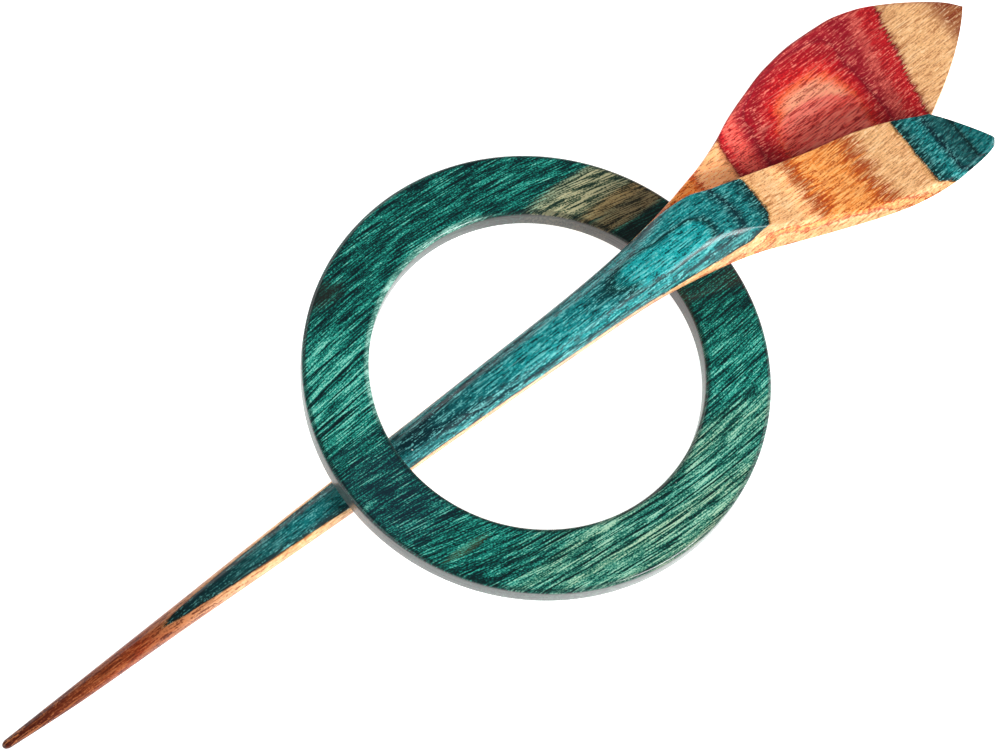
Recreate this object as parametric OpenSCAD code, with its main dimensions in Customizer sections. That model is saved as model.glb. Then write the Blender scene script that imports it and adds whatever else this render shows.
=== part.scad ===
// Shawl pin: a flat wooden ring, and a carved wooden stick whose head is a tulip of two petals.
// From its head, the stick passes over one side of the ring, through its hole and under the other.
// Both lie as they would on a table: the stick rests on its point and on the ring's inner edge,
// and the ring rests on one side of its rim and on the stick.

/* [Ring] */
// Outer diameter of the ring
ring_outer_d = 60; // [59:0.5:62]
// Diameter of the ring's hole
ring_hole_d = 43; // [42:0.5:44]
// Thickness of the ring
ring_t = 3.5; // [3:0.1:3.8]
// Radius of the ring's rounded edges
ring_edge_r = 0.6; // [0.3:0.1:1]
// Lean of the ring towards the stick's head, in degrees
ring_tilt = 9; // [8.9:0.05:9.4]
// Distance of the ring's centre from the stick's point, along the ground
ring_from_point = 81.4; // [78:0.2:83]
// Distance of the stick's line from the ring's centre
stick_offset = 1.96; // [0:0.2:4]

/* [Stick] */
// Length of the stick, from its point to the tip of its back petal
stick_len = 155; // [154.4:0.2:157]
// Length of the stick up to the tip of its front petal
front_len = 145.6; // [145.2:0.2:147]
// Distance from the point to the notch between the two petals
notch_len = 141.4; // [140:0.2:142]
// Height of the stick at its point
point_h = 1.15; // [0.8:0.05:1.3]
// Fall of the stick's underside below the grain, in degrees
underside_fall = 1.3; // [1:0.05:1.4]
// Squareness of the shaft's section at its point: 2 is an ellipse, more is squarer
point_square = 2.1; // [2:0.1:3]
// Squareness of the shaft's section at the neck
neck_square = 2.6; // [2:0.1:3]
// Bevel along the front petal's upper edge
step_bevel = 0.12; // [0.05:0.01:0.2]
// Clearance between the stick and the ring where they touch
clearance = 0.12; // [0.1:0.01:0.2]

/* [Hidden] */

// The stick is drawn with its grain level: x runs from the point to the head, y across it,
// and z is height. Height 0 is the underside of its top colour, and its layers are 1.2 thick.
point_top = -1.45;
point_foot = point_top - point_h;

// Edge of the stick and of its front petal, right side: along, across, height of the widest point
low_edge = [
    [0, -0.7, -2.05],
    [12, -1.4, -1.95],
    [25, -1.7, -1.7],
    [50, -2.4, -1.5],
    [62, -2.55, -1.45],
    [75, -2.8, -1.4],
    [88, -3.15, -1.3],
    [98, -3.5, -1.3],
    [105, -4.45, -1.6],
    [110, -5.35, -2.2],
    [114, -6.3, -2.8],
    [118, -7.7, -3.3],
    [123, -9.6, -3.5],
    [127, -11.1, -3.5],
    [131, -12.6, -3],
    [134, -13.6, -2.2],
    [137, -14.3, -1.2],
    [140, -14.7, 0.3],
    [143, -14.75, 1.8],
    [144.9, -14.5, 2.8],
    [front_len, -13.7, 3.2],
];

// Edge of the stick and of its back petal, left side: along, across, height of the widest point
high_edge = [
    [0, 0.45, -2.05],
    [12, 0.88, -1.95],
    [25, 1.3, -1.7],
    [50, 2.25, -1.5],
    [62, 2.45, -1.45],
    [75, 2.85, -1.4],
    [88, 3.25, -1.3],
    [98, 3.9, -1.2],
    [105, 4.95, -1.2],
    [109, 5.85, -1.5],
    [112.5, 6.95, -2.6],
    [115.5, 8, -3.5],
    [118.9, 9.4, -4],
    [122, 10.95, -4.4],
    [125.5, 12.25, -4.6],
    [130, 13.6, -4.75],
    [135, 14.2, -4.75],
    [140, 13.9, -4.4],
    [144, 12.7, -3.8],
    [147.7, 10.6, -3.2],
    [151.3, 7.9, -2.6],
    [153.7, 5.7, -2.2],
    [stick_len, 3.9, -1.9],
];

// Upper edge of the front petal, which stands over the back petal: along, across
step_edge = [
    [98, 3.4],
    [105, 4.05],
    [109.7, 4.1],
    [113.5, 3.3],
    [117.8, 2.5],
    [122.2, 1.5],
    [127, 0.4],
    [132, -0.95],
    [136.8, -2.9],
    [notch_len, -5.75],
];

// Crown of the shaft and top of the front petal, which is dished like a spoon: along, height
front_top = [
    [0, point_top],
    [7.5, -1.2],
    [25, 0],
    [37, 0.38],
    [50, 0.64],
    [60, 1.02],
    [66, 1.22],
    [80, 1.75],
    [95, 2.4],
    [104, 2.85],
    [107.5, 2.8],
    [110.2, 2.4],
    [113.8, 1.2],
    [117.6, 0],
    [123.5, -1.2],
    [127.3, -1.75],
    [131.2, -1.2],
    [137.2, 0],
    [140.5, 1.2],
    [142.8, 2.4],
    [front_len, 3.5],
];

// Top of the back petal: along, height at the step, height just inside the outer edge,
// how late the dish rises towards that edge
back_top = [
    [98, 0.2, 0.2, 1],
    [106, -0.4, -0.4, 1],
    [109, -0.8, -0.8, 1],
    [111, -1.15, -1.15, 1],
    [112.6, -1.7, -1.7, 1],
    [114.3, -2.4, -2.4, 2],
    [118.5, -3.6, -3.4, 3],
    [123, -4.8, -4, 4],
    [127.5, -5.35, -4.25, 4],
    [131.5, -5.5, -4.3, 4],
    [135.5, -5.3, -4.25, 4],
    [139.3, -4.8, -4.3, 4],
    [142.5, -3.6, -4.15, 2],
    [144.5, -3.2, -3.95, 1.4],
    [147, -2.85, -3.45, 1.2],
    [152, -2.3, -2.45, 1],
    [stick_len, -1.8, -1.8, 1],
];

// Underside of the head under the step: along, height
head_foot = [
    [98, point_foot - 98 * tan(underside_fall)],
    [104, point_foot - 104 * tan(underside_fall)],
    [110, -5.2],
    [114, -5.6],
    [118, -6.2],
    [123, -7],
    [128, -7.5],
    [132, -7.5],
    [136, -7],
    [139, -6.3],
    [notch_len, -5.5],
];

// Strip along the front petal's outer edge where its top comes down: along, width of the strip
front_roll = [
    [98, 2.4],
    [112, 2.2],
    [122, 2.2],
    [132, 1.8],
    [139, 1.2],
    [front_len, 0.5],
];

// How the top comes down over that strip: share of the way in from the edge, share of the drop
roll_profile = [
    [0, 1],
    [0.24, 0.84],
    [0.45, 0.66],
    [0.54, 0.46],
    [0.63, 0.28],
    [0.8, 0.07],
    [1, 0],
];

// Where the section changes from the round shaft to the petals
neck_start = 98;
neck_end = 111;
// Width of the rounded strip along the back petal's outer edge
back_roll = 0.7;
// Lean of the wall between the petals
step_lean = 0.15;
// How far the ends of the petals bulge out from straight cuts, and how late the bulge sets in
front_bulge = 0.15;
back_bulge = 1.4;
bulge_power = 4;
// Roundness of the head's underside, from an ellipse (2) to a straight side (1): at the neck,
// and at the end of each petal
belly_round = 2.2;
front_end_round = 1.6;
back_end_round = 1.3;
// Length of the rounded point
point_round = 0.8;
// Angle up the side of the shaft's section at which the petals part
shoulder = 32;

// Sections along the shaft and along the head, with closer ones where the ends are round,
// and lines along the top of a section
shaft_step = 5;
head_sections = 38;
point_places = [0.03, 0.25, 0.8, 2.2];
end_places = [0.985, 0.994, 1];
roll_lines = len(roll_profile) - 1;
front_lines = 6;
back_lines = 6;
rim_lines = 3;
step_line = roll_lines + front_lines + 1;
last_line = step_line + back_lines + rim_lines + 1;

// Smooth curve through the rows of a table, which doesn't swing past them
function row_before(rows, x, i = 0) =
    (i >= len(rows) - 2 || x < rows[i + 1][0]) ? i : row_before(rows, x, i + 1);
function rise(rows, i, col) = (rows[i + 1][col] - rows[i][col]) / (rows[i + 1][0] - rows[i][0]);
function slope(rows, i, col) =
    i == 0 ? rise(rows, 0, col) :
    i == len(rows) - 1 ? rise(rows, i - 1, col) :
    rise(rows, i - 1, col) * rise(rows, i, col) <= 0 ? 0 :
    2 * rise(rows, i - 1, col) * rise(rows, i, col) / (rise(rows, i - 1, col) + rise(rows, i, col));
function curve(rows, x, col = 1) =
    let (
        i = row_before(rows, x),
        h = rows[i + 1][0] - rows[i][0],
        s = max(0, min(1, (x - rows[i][0]) / h)),
        r = 1 - s
    )
    rows[i][col] * (1 + 2 * s) * r * r + slope(rows, i, col) * h * s * r * r
    + rows[i + 1][col] * (1 + 2 * r) * s * s - slope(rows, i + 1, col) * h * r * s * s;

function mix(a, b, t) = a + (b - a) * t;
function ease(t) = let (s = max(0, min(1, t))) s * s * (3 - 2 * s);
function swell(t, n) = pow(max(0, 1 - pow(t, n)), 1 / n);
function arch(t) = 4 * t * (1 - t);

// Underside of the shaft, a straight line along its length
function shaft_foot(x) = point_foot - x * tan(underside_fall);

// One section is three places along the stick: at its right edge, at the step and at its left edge
function section_place(f) = [
    mix(neck_start, front_len, f),
    mix(neck_start, notch_len, f),
    mix(neck_start, stick_len, f),
];
shaft_places = [each point_places, for (x = [shaft_step:shaft_step:neck_start - 1]) x];
head_places = [for (i = [0:head_sections - 1]) i / head_sections, each end_places];
sections = [
    for (x = shaft_places) [x, x, x, 0],
    for (f = head_places) [each section_place(f), f],
];

// Distance of line j from the front petal's right edge, and from the step on the back petal
function front_across(j, width, roll) =
    j <= roll_lines ? roll * roll_profile[j][0] :
    j < step_line ? mix(roll, width - step_bevel, (j - roll_lines) / front_lines) : width;
function back_across(j, width) =
    let (
        k = j - step_line - 1,
        inner = width - back_roll
    )
    k <= back_lines ? inner * k / back_lines :
    inner + back_roll * sin(90 * (k - back_lines) / rim_lines);

// Plan of line j of a section of the head
function front_plan(s, j) =
    let (
        a = [s[0], curve(low_edge, s[0])],
        b = [s[1], curve(step_edge, s[1])],
        t = front_across(j, norm(b - a), curve(front_roll, s[0])) / norm(b - a)
    )
    mix(a, b, t) + [front_bulge * arch(t) * pow(s[3], bulge_power), 0];
function back_plan(s, j) =
    let (
        a = [s[1] + step_lean * s[3], curve(step_edge, s[1]) + step_lean],
        b = [s[2], curve(high_edge, s[2])],
        t = back_across(j, norm(b - a)) / norm(b - a)
    )
    mix(a, b, t) + [back_bulge * arch(t) * pow(s[3], bulge_power), 0];

// Point of the head on line j, on its top or on its underside
function front_point(s, j, top) =
    let (
        p = front_plan(s, j),
        edge = curve(low_edge, s[0]),
        rim = curve(low_edge, s[0], 2),
        t = max(0, (p[1] - edge) / (curve(step_edge, s[1]) - edge)),
        crown = curve(front_top, p[0]),
        down = j <= roll_lines ? roll_profile[j][1] : 0,
        bevel = j == step_line ? step_bevel : 0,
        foot = curve(head_foot, s[1]),
        belly = mix(swell(1 - t, belly_round), pow(t, front_end_round), ease(s[3]))
    )
    [p[0], p[1], top ? mix(crown, rim, down) - bevel : mix(rim, foot, belly)];
function back_point(s, j, top) =
    let (
        p = back_plan(s, j),
        step = curve(step_edge, s[1]),
        rim = curve(high_edge, s[2], 2),
        t = max(0, min(1, (p[1] - step) / (curve(high_edge, s[2]) - step))),
        late = pow(t, curve(back_top, p[0], 3)),
        dish = mix(curve(back_top, p[0], 1), curve(back_top, p[0], 2), late),
        k = j - step_line - 1 - back_lines,
        down = k > 0 ? 1 - cos(90 * k / rim_lines) : 0,
        foot = curve(head_foot, s[1]),
        belly = swell(t, mix(belly_round, back_end_round, s[3]))
    )
    [p[0], p[1], top ? mix(dish, rim, down) : mix(rim, foot, belly)];
function head_point(s, j, top) = j <= step_line ? front_point(s, j, top) : back_point(s, j, top);

// Point of the shaft's round section on line j
function shaft_point(s, j, top) =
    let (
        x = s[1],
        a = j <= step_line ? mix(180, shoulder, j / step_line) :
            mix(shoulder, 0, (j - step_line) / (last_line - step_line)),
        low = curve(low_edge, x),
        high = curve(high_edge, x),
        rim = mix(curve(low_edge, x, 2), curve(high_edge, x, 2), j / last_line),
        tip = x < point_round ? sqrt(1 - pow(1 - x / point_round, 2)) : 1,
        square = mix(point_square, neck_square, ease(x / neck_start)),
        across = sign(cos(a)) * pow(abs(cos(a)), 2 / square),
        up = pow(sin(a), 2 / square),
        reach = top ? curve(front_top, x) - rim : rim - shaft_foot(x)
    )
    [
        x,
        (low + high) / 2 + tip * across * (high - low) / 2,
        rim + (top ? 1 : -1) * tip * up * reach,
    ];

// Point of the stick on line j of a section, changing from the shaft to the head along the neck
function stick_point(s, j, top) =
    let (t = ease((s[1] - neck_start) / (neck_end - neck_start)))
    t == 0 ? shaft_point(s, j, top) :
    t == 1 ? head_point(s, j, top) :
    mix(shaft_point(s, j, top), head_point(s, j, top), t);

// One section: across its top from right to left, then back under it
function section_loop(s) = [
    for (j = [0:last_line]) stick_point(s, j, true),
    for (j = [last_line - 1:-1:1]) stick_point(s, j, false),
];
loop_len = 2 * last_line;

// Two triangles between lines j and j + 1 of two neighbouring sections, i and i + 1
function skin(i, j) =
    let (
        a = i * loop_len + j,
        b = i * loop_len + (j + 1) % loop_len,
        c = a + loop_len,
        d = b + loop_len
    )
    [[a, b, c], [b, d, c]];

// Triangles that close one end of the loops, each joining the top to the underside below it
function under(j) = j == 0 || j == last_line ? j : loop_len - j;
function cap(base, flip) = [
    for (j = [0:last_line - 1]) let (
        a = base + j,
        b = base + j + 1,
        c = base + under(j),
        d = base + under(j + 1),
        one = [a, c, b],
        two = [b, c, d]
    ) each [
        if (a != c) flip ? [one[0], one[2], one[1]] : one,
        if (b != d) flip ? [two[0], two[2], two[1]] : two,
    ],
];

// Height of the ring's centre, when its lowest rounded edge is on the ground
ring_r = ring_outer_d / 2;
hole_r = ring_hole_d / 2;
edge_up = ring_t / 2 - ring_edge_r;
ring_z = (ring_r - ring_edge_r) * sin(ring_tilt) + edge_up * cos(ring_tilt) + ring_edge_r;

// Pitch of the stick's underside, from its point to the ring's inner edge that carries it
edge_reach = sqrt(pow(hole_r + ring_edge_r, 2) - pow(stick_offset, 2));
edge_x = ring_from_point + edge_reach * cos(ring_tilt) + edge_up * sin(ring_tilt);
edge_z = ring_z - edge_reach * sin(ring_tilt) + edge_up * cos(ring_tilt);
underside_pitch = atan2(edge_z, edge_x) + asin((ring_edge_r + clearance) / norm([edge_x, edge_z]));
stick_pitch = underside_pitch + underside_fall;

// The origin is under the middle of the whole, from the point to the tip of the back petal
tip_height = back_top[len(back_top) - 1][1] - point_foot;
middle_x = (stick_len * cos(stick_pitch) - tip_height * sin(stick_pitch)) / 2;

// Outline of the ring's cross-section, a rectangle with rounded corners
module ring_section() {
    width = ring_r - hole_r;
    translate([hole_r + ring_edge_r, -ring_t / 2])
        square([width - 2 * ring_edge_r, ring_t]);
    translate([hole_r, -ring_t / 2 + ring_edge_r])
        square([width, ring_t - 2 * ring_edge_r]);
    for (x = [hole_r + ring_edge_r, ring_r - ring_edge_r], side = [-1, 1])
        translate([x, side * edge_up])
            circle(r = ring_edge_r, $fn = 32);
}

module ring() {
    color("#0f5f58")
        translate([ring_from_point - middle_x, 0, ring_z])
            rotate([0, ring_tilt, 0])
                rotate_extrude($fn = 128)
                    ring_section();
}

module stick() {
    points = [for (s = sections) each section_loop(s)];
    last = len(sections) - 1;
    faces = [
        each cap(0, false),
        for (i = [0:last - 1], j = [0:loop_len - 1]) each skin(i, j),
        each cap(last * loop_len, true),
    ];
    color("#c8834a")
        translate([-middle_x, stick_offset, 0])
            rotate([0, -stick_pitch, 0])
                translate([0, 0, -point_foot])
                    polyhedron(points = points, faces = faces, convexity = 6);
}

ring();
stick();
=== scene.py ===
"""Shawl pin: a stained wooden ring, and a carved stick of coloured, layered wood."""

import math

import bmesh
import bpy
from mathutils import Matrix, Vector


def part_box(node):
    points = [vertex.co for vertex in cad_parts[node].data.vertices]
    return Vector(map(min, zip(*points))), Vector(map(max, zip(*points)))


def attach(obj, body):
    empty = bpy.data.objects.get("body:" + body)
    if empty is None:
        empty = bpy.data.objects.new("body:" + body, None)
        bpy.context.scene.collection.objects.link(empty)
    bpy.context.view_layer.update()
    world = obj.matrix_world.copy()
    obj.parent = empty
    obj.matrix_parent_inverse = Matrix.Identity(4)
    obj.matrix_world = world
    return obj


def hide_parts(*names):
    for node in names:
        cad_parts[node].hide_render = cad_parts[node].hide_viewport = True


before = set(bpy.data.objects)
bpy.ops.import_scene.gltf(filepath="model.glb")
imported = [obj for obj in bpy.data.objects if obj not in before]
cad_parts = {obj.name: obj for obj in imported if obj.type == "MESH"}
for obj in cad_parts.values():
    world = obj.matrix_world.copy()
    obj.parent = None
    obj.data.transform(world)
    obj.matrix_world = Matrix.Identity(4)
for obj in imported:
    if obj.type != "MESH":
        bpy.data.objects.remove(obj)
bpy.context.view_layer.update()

bl_info = {
    "name": "Shawl Pin",
    "version": (1, 0, 0),
    "blender": (4, 5, 0),
    "location": "3D View > Sidebar > Shawl Pin",
    "description": "Builds a wooden shawl pin: a stained ring and a carved stick of layered wood",
    "category": "Add Mesh",
}

MM = 0.001
SHARP_ANGLE = math.radians(40)

# Faces round the ring, and round each of its rounded edges
RING_STEPS = 360
EDGE_STEPS = 8

# Tables of the stick, in millimetres. It is drawn with its grain level: along from the point,
# across to the left, and height above the underside of its top colour.

# Right edge of the stick and of the front petal: along, across, height
LOW_EDGE = [
    (0, -0.7, -2.05),
    (12, -1.4, -1.95),
    (25, -1.7, -1.7),
    (50, -2.4, -1.5),
    (62, -2.55, -1.45),
    (75, -2.8, -1.4),
    (88, -3.15, -1.3),
    (98, -3.5, -1.3),
    (105, -4.45, -1.6),
    (110, -5.35, -2.2),
    (114, -6.3, -2.8),
    (118, -7.7, -3.3),
    (123, -9.6, -3.5),
    (127, -11.1, -3.5),
    (131, -12.6, -3),
    (134, -13.6, -2.2),
    (137, -14.3, -1.2),
    (140, -14.7, 0.3),
    (143, -14.75, 1.8),
    (144.9, -14.5, 2.8),
    (145.6, -13.7, 3.2),
]

# Left edge of the stick and of the back petal: along, across, height
HIGH_EDGE = [
    (0, 0.45, -2.05),
    (12, 0.88, -1.95),
    (25, 1.3, -1.7),
    (50, 2.25, -1.5),
    (62, 2.45, -1.45),
    (75, 2.85, -1.4),
    (88, 3.25, -1.3),
    (98, 3.9, -1.2),
    (105, 4.95, -1.2),
    (109, 5.85, -1.5),
    (112.5, 6.95, -2.6),
    (115.5, 8, -3.5),
    (118.9, 9.4, -4),
    (122, 10.95, -4.4),
    (125.5, 12.25, -4.6),
    (130, 13.6, -4.75),
    (135, 14.2, -4.75),
    (140, 13.9, -4.4),
    (144, 12.7, -3.8),
    (147.7, 10.6, -3.2),
    (151.3, 7.9, -2.6),
    (153.7, 5.7, -2.2),
    (155, 3.9, -1.9),
]

# Upper edge of the front petal, over the back petal: along, across
STEP_EDGE = [
    (98, 3.4),
    (105, 4.05),
    (109.7, 4.1),
    (113.5, 3.3),
    (117.8, 2.5),
    (122.2, 1.5),
    (127, 0.4),
    (132, -0.95),
    (136.8, -2.9),
    (141.4, -5.75),
]

# Crown of the shaft and dished top of the front petal: along, height
FRONT_TOP = [
    (0, -1.45),
    (7.5, -1.2),
    (25, 0),
    (37, 0.38),
    (50, 0.64),
    (60, 1.02),
    (66, 1.22),
    (80, 1.75),
    (95, 2.4),
    (104, 2.85),
    (107.5, 2.8),
    (110.2, 2.4),
    (113.8, 1.2),
    (117.6, 0),
    (123.5, -1.2),
    (127.3, -1.75),
    (131.2, -1.2),
    (137.2, 0),
    (140.5, 1.2),
    (142.8, 2.4),
    (145.6, 3.5),
]

# Top of the back petal: along, height at the step, height at the outer edge, lateness of its rise
BACK_TOP = [
    (98, 0.2, 0.2, 1),
    (106, -0.4, -0.4, 1),
    (109, -0.8, -0.8, 1),
    (111, -1.15, -1.15, 1),
    (112.6, -1.7, -1.7, 1),
    (114.3, -2.4, -2.4, 2),
    (118.5, -3.6, -3.4, 3),
    (123, -4.8, -4, 4),
    (127.5, -5.35, -4.25, 4),
    (131.5, -5.5, -4.3, 4),
    (135.5, -5.3, -4.25, 4),
    (139.3, -4.8, -4.3, 4),
    (142.5, -3.6, -4.15, 2),
    (144.5, -3.2, -3.95, 1.4),
    (147, -2.85, -3.45, 1.2),
    (152, -2.3, -2.45, 1),
    (155, -1.8, -1.8, 1),
]

# Underside of the shaft at its point, and how much it falls for each millimetre along
POINT_FOOT = -2.6
UNDERSIDE_FALL = math.tan(math.radians(1.3))

# Underside of the head, under the step: along, height
HEAD_FOOT = [
    (98, POINT_FOOT - 98 * UNDERSIDE_FALL),
    (104, POINT_FOOT - 104 * UNDERSIDE_FALL),
    (110, -5.2),
    (114, -5.6),
    (118, -6.2),
    (123, -7),
    (128, -7.5),
    (132, -7.5),
    (136, -7),
    (139, -6.3),
    (141.4, -5.5),
]

# Strip along the front petal's outer edge where its top comes down: along, width
FRONT_ROLL = [
    (98, 2.8),
    (106, 3.6),
    (112, 3.9),
    (117, 2.9),
    (122, 2.2),
    (132, 1.8),
    (139, 1.2),
    (145.6, 0.5),
]

# How the top comes down over that strip: share of the way in, share of the drop
ROLL_PROFILE = [
    (0, 1),
    (0.24, 0.84),
    (0.45, 0.66),
    (0.54, 0.46),
    (0.63, 0.28),
    (0.78, 0.07),
    (0.9, 0.014),
    (1, 0),
]

# The same at the neck, where the flank is rounder
NECK_PROFILE = [
    (0, 1),
    (0.12, 0.8),
    (0.28, 0.53),
    (0.5, 0.25),
    (0.7, 0.085),
    (0.86, 0.018),
    (1, 0),
]

# Colours of the stick's wood by height. Each layer is 1.2 mm thick, dark where it is glued and
# lighter in its middle. The layers above height 0 are teal, those below are tan, orange and red.
LAYER = 1.2
COOL_WOOD = [
    (-0.2, (0.84, 0.44, 0.19)),
    (-0.05, (0.7, 0.36, 0.13)),
    (0.0, (0.03, 0.03, 0.012)),
    (0.05, (0.002, 0.022, 0.02)),
    (0.2, (0.002, 0.042, 0.044)),
    (0.42, (0.005, 0.135, 0.14)),
    (0.7, (0.007, 0.22, 0.225)),
    (0.95, (0.005, 0.14, 0.145)),
    (1.08, (0.002, 0.04, 0.05)),
    (1.18, (0.001, 0.02, 0.03)),
    (1.3, (0.003, 0.075, 0.085)),
    (1.8, (0.008, 0.26, 0.265)),
    (2.18, (0.006, 0.19, 0.2)),
    (2.32, (0.003, 0.08, 0.085)),
    (2.38, (0.001, 0.035, 0.038)),
    (2.42, (0.001, 0.045, 0.043)),
    (2.48, (0.005, 0.17, 0.17)),
    (2.58, (0.009, 0.33, 0.34)),
    (3.6, (0.01, 0.38, 0.39)),
]
WARM_WOOD = [
    (-7.4, (0.8, 0.44, 0.2)),
    (-7.2, (0.16, 0.005, 0.01)),
    (-6.6, (0.6, 0.085, 0.07)),
    (-6.0, (0.16, 0.004, 0.012)),
    (-5.85, (0.55, 0.01, 0.02)),
    (-5.45, (0.84, 0.2, 0.115)),
    (-5.2, (0.82, 0.14, 0.085)),
    (-5.02, (0.62, 0.014, 0.024)),
    (-4.88, (0.42, 0.006, 0.018)),
    (-4.8, (0.2, 0.004, 0.014)),
    (-4.68, (0.36, 0.012, 0.025)),
    (-4.4, (0.6, 0.085, 0.07)),
    (-4.0, (0.62, 0.1, 0.085)),
    (-3.82, (0.46, 0.014, 0.022)),
    (-3.66, (0.26, 0.006, 0.012)),
    (-3.6, (0.11, 0.01, 0.008)),
    (-3.55, (0.45, 0.19, 0.085)),
    (-3.42, (0.78, 0.42, 0.185)),
    (-3.0, (0.84, 0.47, 0.21)),
    (-2.55, (0.8, 0.42, 0.18)),
    (-2.4, (0.4, 0.08, 0.03)),
    (-2.2, (0.58, 0.11, 0.024)),
    (-1.95, (0.8, 0.23, 0.035)),
    (-1.7, (0.92, 0.4, 0.115)),
    (-1.5, (0.8, 0.22, 0.032)),
    (-1.36, (0.48, 0.078, 0.014)),
    (-1.2, (0.33, 0.052, 0.016)),
    (-1.08, (0.6, 0.24, 0.09)),
    (-0.96, (0.82, 0.44, 0.19)),
    (-0.6, (0.85, 0.47, 0.21)),
    (-0.2, (0.84, 0.44, 0.19)),
]

# Colours of the dark and of the light fibres by height, for the same layers
DARK_FIBRES = [
    (-7.4, (0.26, 0.006, 0.012)),
    (-3.6, (0.4, 0.13, 0.045)),
    (-2.4, (0.42, 0.06, 0.01)),
    (-1.2, (0.4, 0.13, 0.04)),
    (0.0, (0.001, 0.022, 0.03)),
]
LIGHT_FIBRES = [
    (-7.4, (0.86, 0.23, 0.17)),
    (-3.6, (0.96, 0.68, 0.4)),
    (-2.4, (0.96, 0.52, 0.18)),
    (-1.2, (0.96, 0.68, 0.4)),
    (0.0, (0.17, 0.58, 0.56)),
]

# Heights that the tables of the stick's colours cover
WARM_LOW = -7.4
COOL_LOW = -0.2
COOL_HIGH = 3.6

# Places where the stick's layers lie higher or lower than level: how much higher, then where this
# begins, is full, is last full and ends along the stick, and where it begins and is full across it
LAYER_DRIFT = [
    (0.45, (48, 60, 98, 112), (-1.2, -2.4)),
    (0.4, (104, 109, 113.5, 116.3), (-3.5, -5.0)),
    (-0.22, (114.6, 116.4, 117.8, 119), (-6.0, -5.2, -4.6, -3.2)),
    (-0.5, (115.5, 117.2, 118.2, 120), (-4.8, -6.4)),
    (-0.22, (118, 122, 138, 142), (8, 11)),
]

# Start of the back petal's tan tip: along at its middle, and its slant
TIP_LINE = (143.8, 0.23)

# Light arch on the bowl of the back petal: middle along, slant, half its width, foot across,
# its reach from there, and how square it is
ARCH = (131.1, 0.12, 6.9, 1.0, 10.5, 2.6)

# Colours of the arch, from its middle outwards
ARCH_WOOD = [
    (0.0, (0.95, 0.38, 0.23)),
    (0.68, (0.95, 0.38, 0.22)),
    (0.8, (0.88, 0.14, 0.055)),
    (0.9, (0.68, 0.02, 0.018)),
    (1.02, (0.5, 0.01, 0.018)),
    (1.16, (0.3, 0.007, 0.015)),
    (1.4, (0.3, 0.01, 0.022)),
]
ARCH_HIGH = 1.5

# Pink floor of the bowl: middle along and across, half its length and half its width
BOWL_FLOOR = (130.5, -3.0, 9.0, 10.1)
FLOOR_WOOD = [
    (0.2, (0.62, 0.016, 0.02)),
    (0.45, (0.82, 0.06, 0.054)),
    (0.7, (0.95, 0.21, 0.16)),
]

# Brightness of the teal layers along the stick
TEAL_SHADE = [
    (20, 0.3),
    (38, 0.45),
    (46, 0.95),
    (52, 0.75),
    (62, 0.8),
    (76, 1.05),
    (108, 1.0),
    (112, 0.75),
    (118, 0.85),
    (140.2, 0.95),
    (141.6, 0.36),
    (146, 0.42),
]

# Colours of the bare wood towards the point, by place along the stick
POINT_WOOD = [
    (0, (0.03, 0.005, 0.002)),
    (6, (0.07, 0.009, 0.003)),
    (9, (0.13, 0.022, 0.007)),
    (17, (0.24, 0.048, 0.013)),
    (21, (0.21, 0.025, 0.005)),
    (26, (0.38, 0.125, 0.046)),
    (45, (0.6, 0.3, 0.175)),
]
POINT_HIGH = 60

# Places on the ring's face, in millimetres: middle along the streaks and across them, half their
# length and half their width
RING_PLACES = {
    # The mint streaks on the left are partly the wood's colour and partly painted sheen
    "mint_and_sheen": (-23, 12, 9, 7.5),
    "pale": (3, -25, 27, 9),
    "navy": (-25, -3, 9, 8),
    "right": (22, -15, 8, 8),
    "dull": (26, -3, 7, 6),
    "dim": (23, 6.5, 8, 2),
    "khaki": (20, 16.4, 11, 2.8),
    "gold": (23, 13.2, 8, 1.0),
    "olive": (23, 11.2, 8, 1.5),
    "black_band": (24, 8.2, 9, 1.6),
    "burn": (-17.5, 23.2, 3.5, 1.6),
    "moss": (-22, -14.2, 3.5, 0.6),
}

# What some of them change: tone, share of the streaks in it and share of the dark gaps in it
RING_TONES = [
    # The mint streaks are lighter partly from the wood's colour and partly from painted sheen
    ("mint_and_sheen", 0.28, 1.0, 0.5),
    ("pale", 0.31, 0.5, 0.45),
    ("right", 0.18, 0.4, 0.2),
    ("navy", -0.02, 0.0, 0.0),
    ("dull", -0.06, 0.0, 0.0),
    ("dim", -0.22, 0.0, 0.0),
]

# Streaked woods of the ring by tone, and the strength of those that are only in one place
STRAW_WOOD = [
    (0.1, (0.002, 0.018, 0.014)),
    (0.35, (0.006, 0.055, 0.036)),
    (0.55, (0.035, 0.15, 0.09)),
    (0.75, (0.2, 0.31, 0.18)),
    (1.0, (0.52, 0.56, 0.34)),
]
KHAKI_WOOD = [
    (0.2, (0.01, 0.03, 0.02)),
    (0.4, (0.07, 0.11, 0.062)),
    (0.6, (0.2, 0.23, 0.13)),
    (0.8, (0.56, 0.52, 0.3)),
]
GOLD_WOOD = [(0.2, (0.04, 0.04, 0.02)), (0.5, (0.17, 0.13, 0.055)), (0.8, (0.6, 0.4, 0.16))]
OLIVE_WOOD = [(0.2, (0.012, 0.016, 0.01)), (0.5, (0.09, 0.08, 0.04)), (0.8, (0.32, 0.26, 0.13))]
# Colours of the painted highlight on the hole's rounded edge, by tone
LIT_EDGE_WOOD = [(0.2, (0.02, 0.14, 0.11)), (0.5, (0.12, 0.38, 0.3)), (0.8, (0.36, 0.66, 0.56))]
PLY_WOOD = [(0.3, (0.014, 0.018, 0.018)), (0.7, (0.085, 0.092, 0.088))]
RING_WOODS = [("khaki", 0.92, KHAKI_WOOD), ("gold", 0.75, GOLD_WOOD), ("olive", 0.9, OLIVE_WOOD)]

# Plain stains on the ring, and a black band beside the stick: place, strength and colour
RING_STAINS = [
    ("black_band", 0.75, (0.007, 0.016, 0.016)),
    ("burn", 0.6, (0.018, 0.018, 0.013)),
    ("moss", 0.3, (0.09, 0.09, 0.03)),
    ("navy", 0.35, (0.01, 0.035, 0.055)),
]

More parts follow.
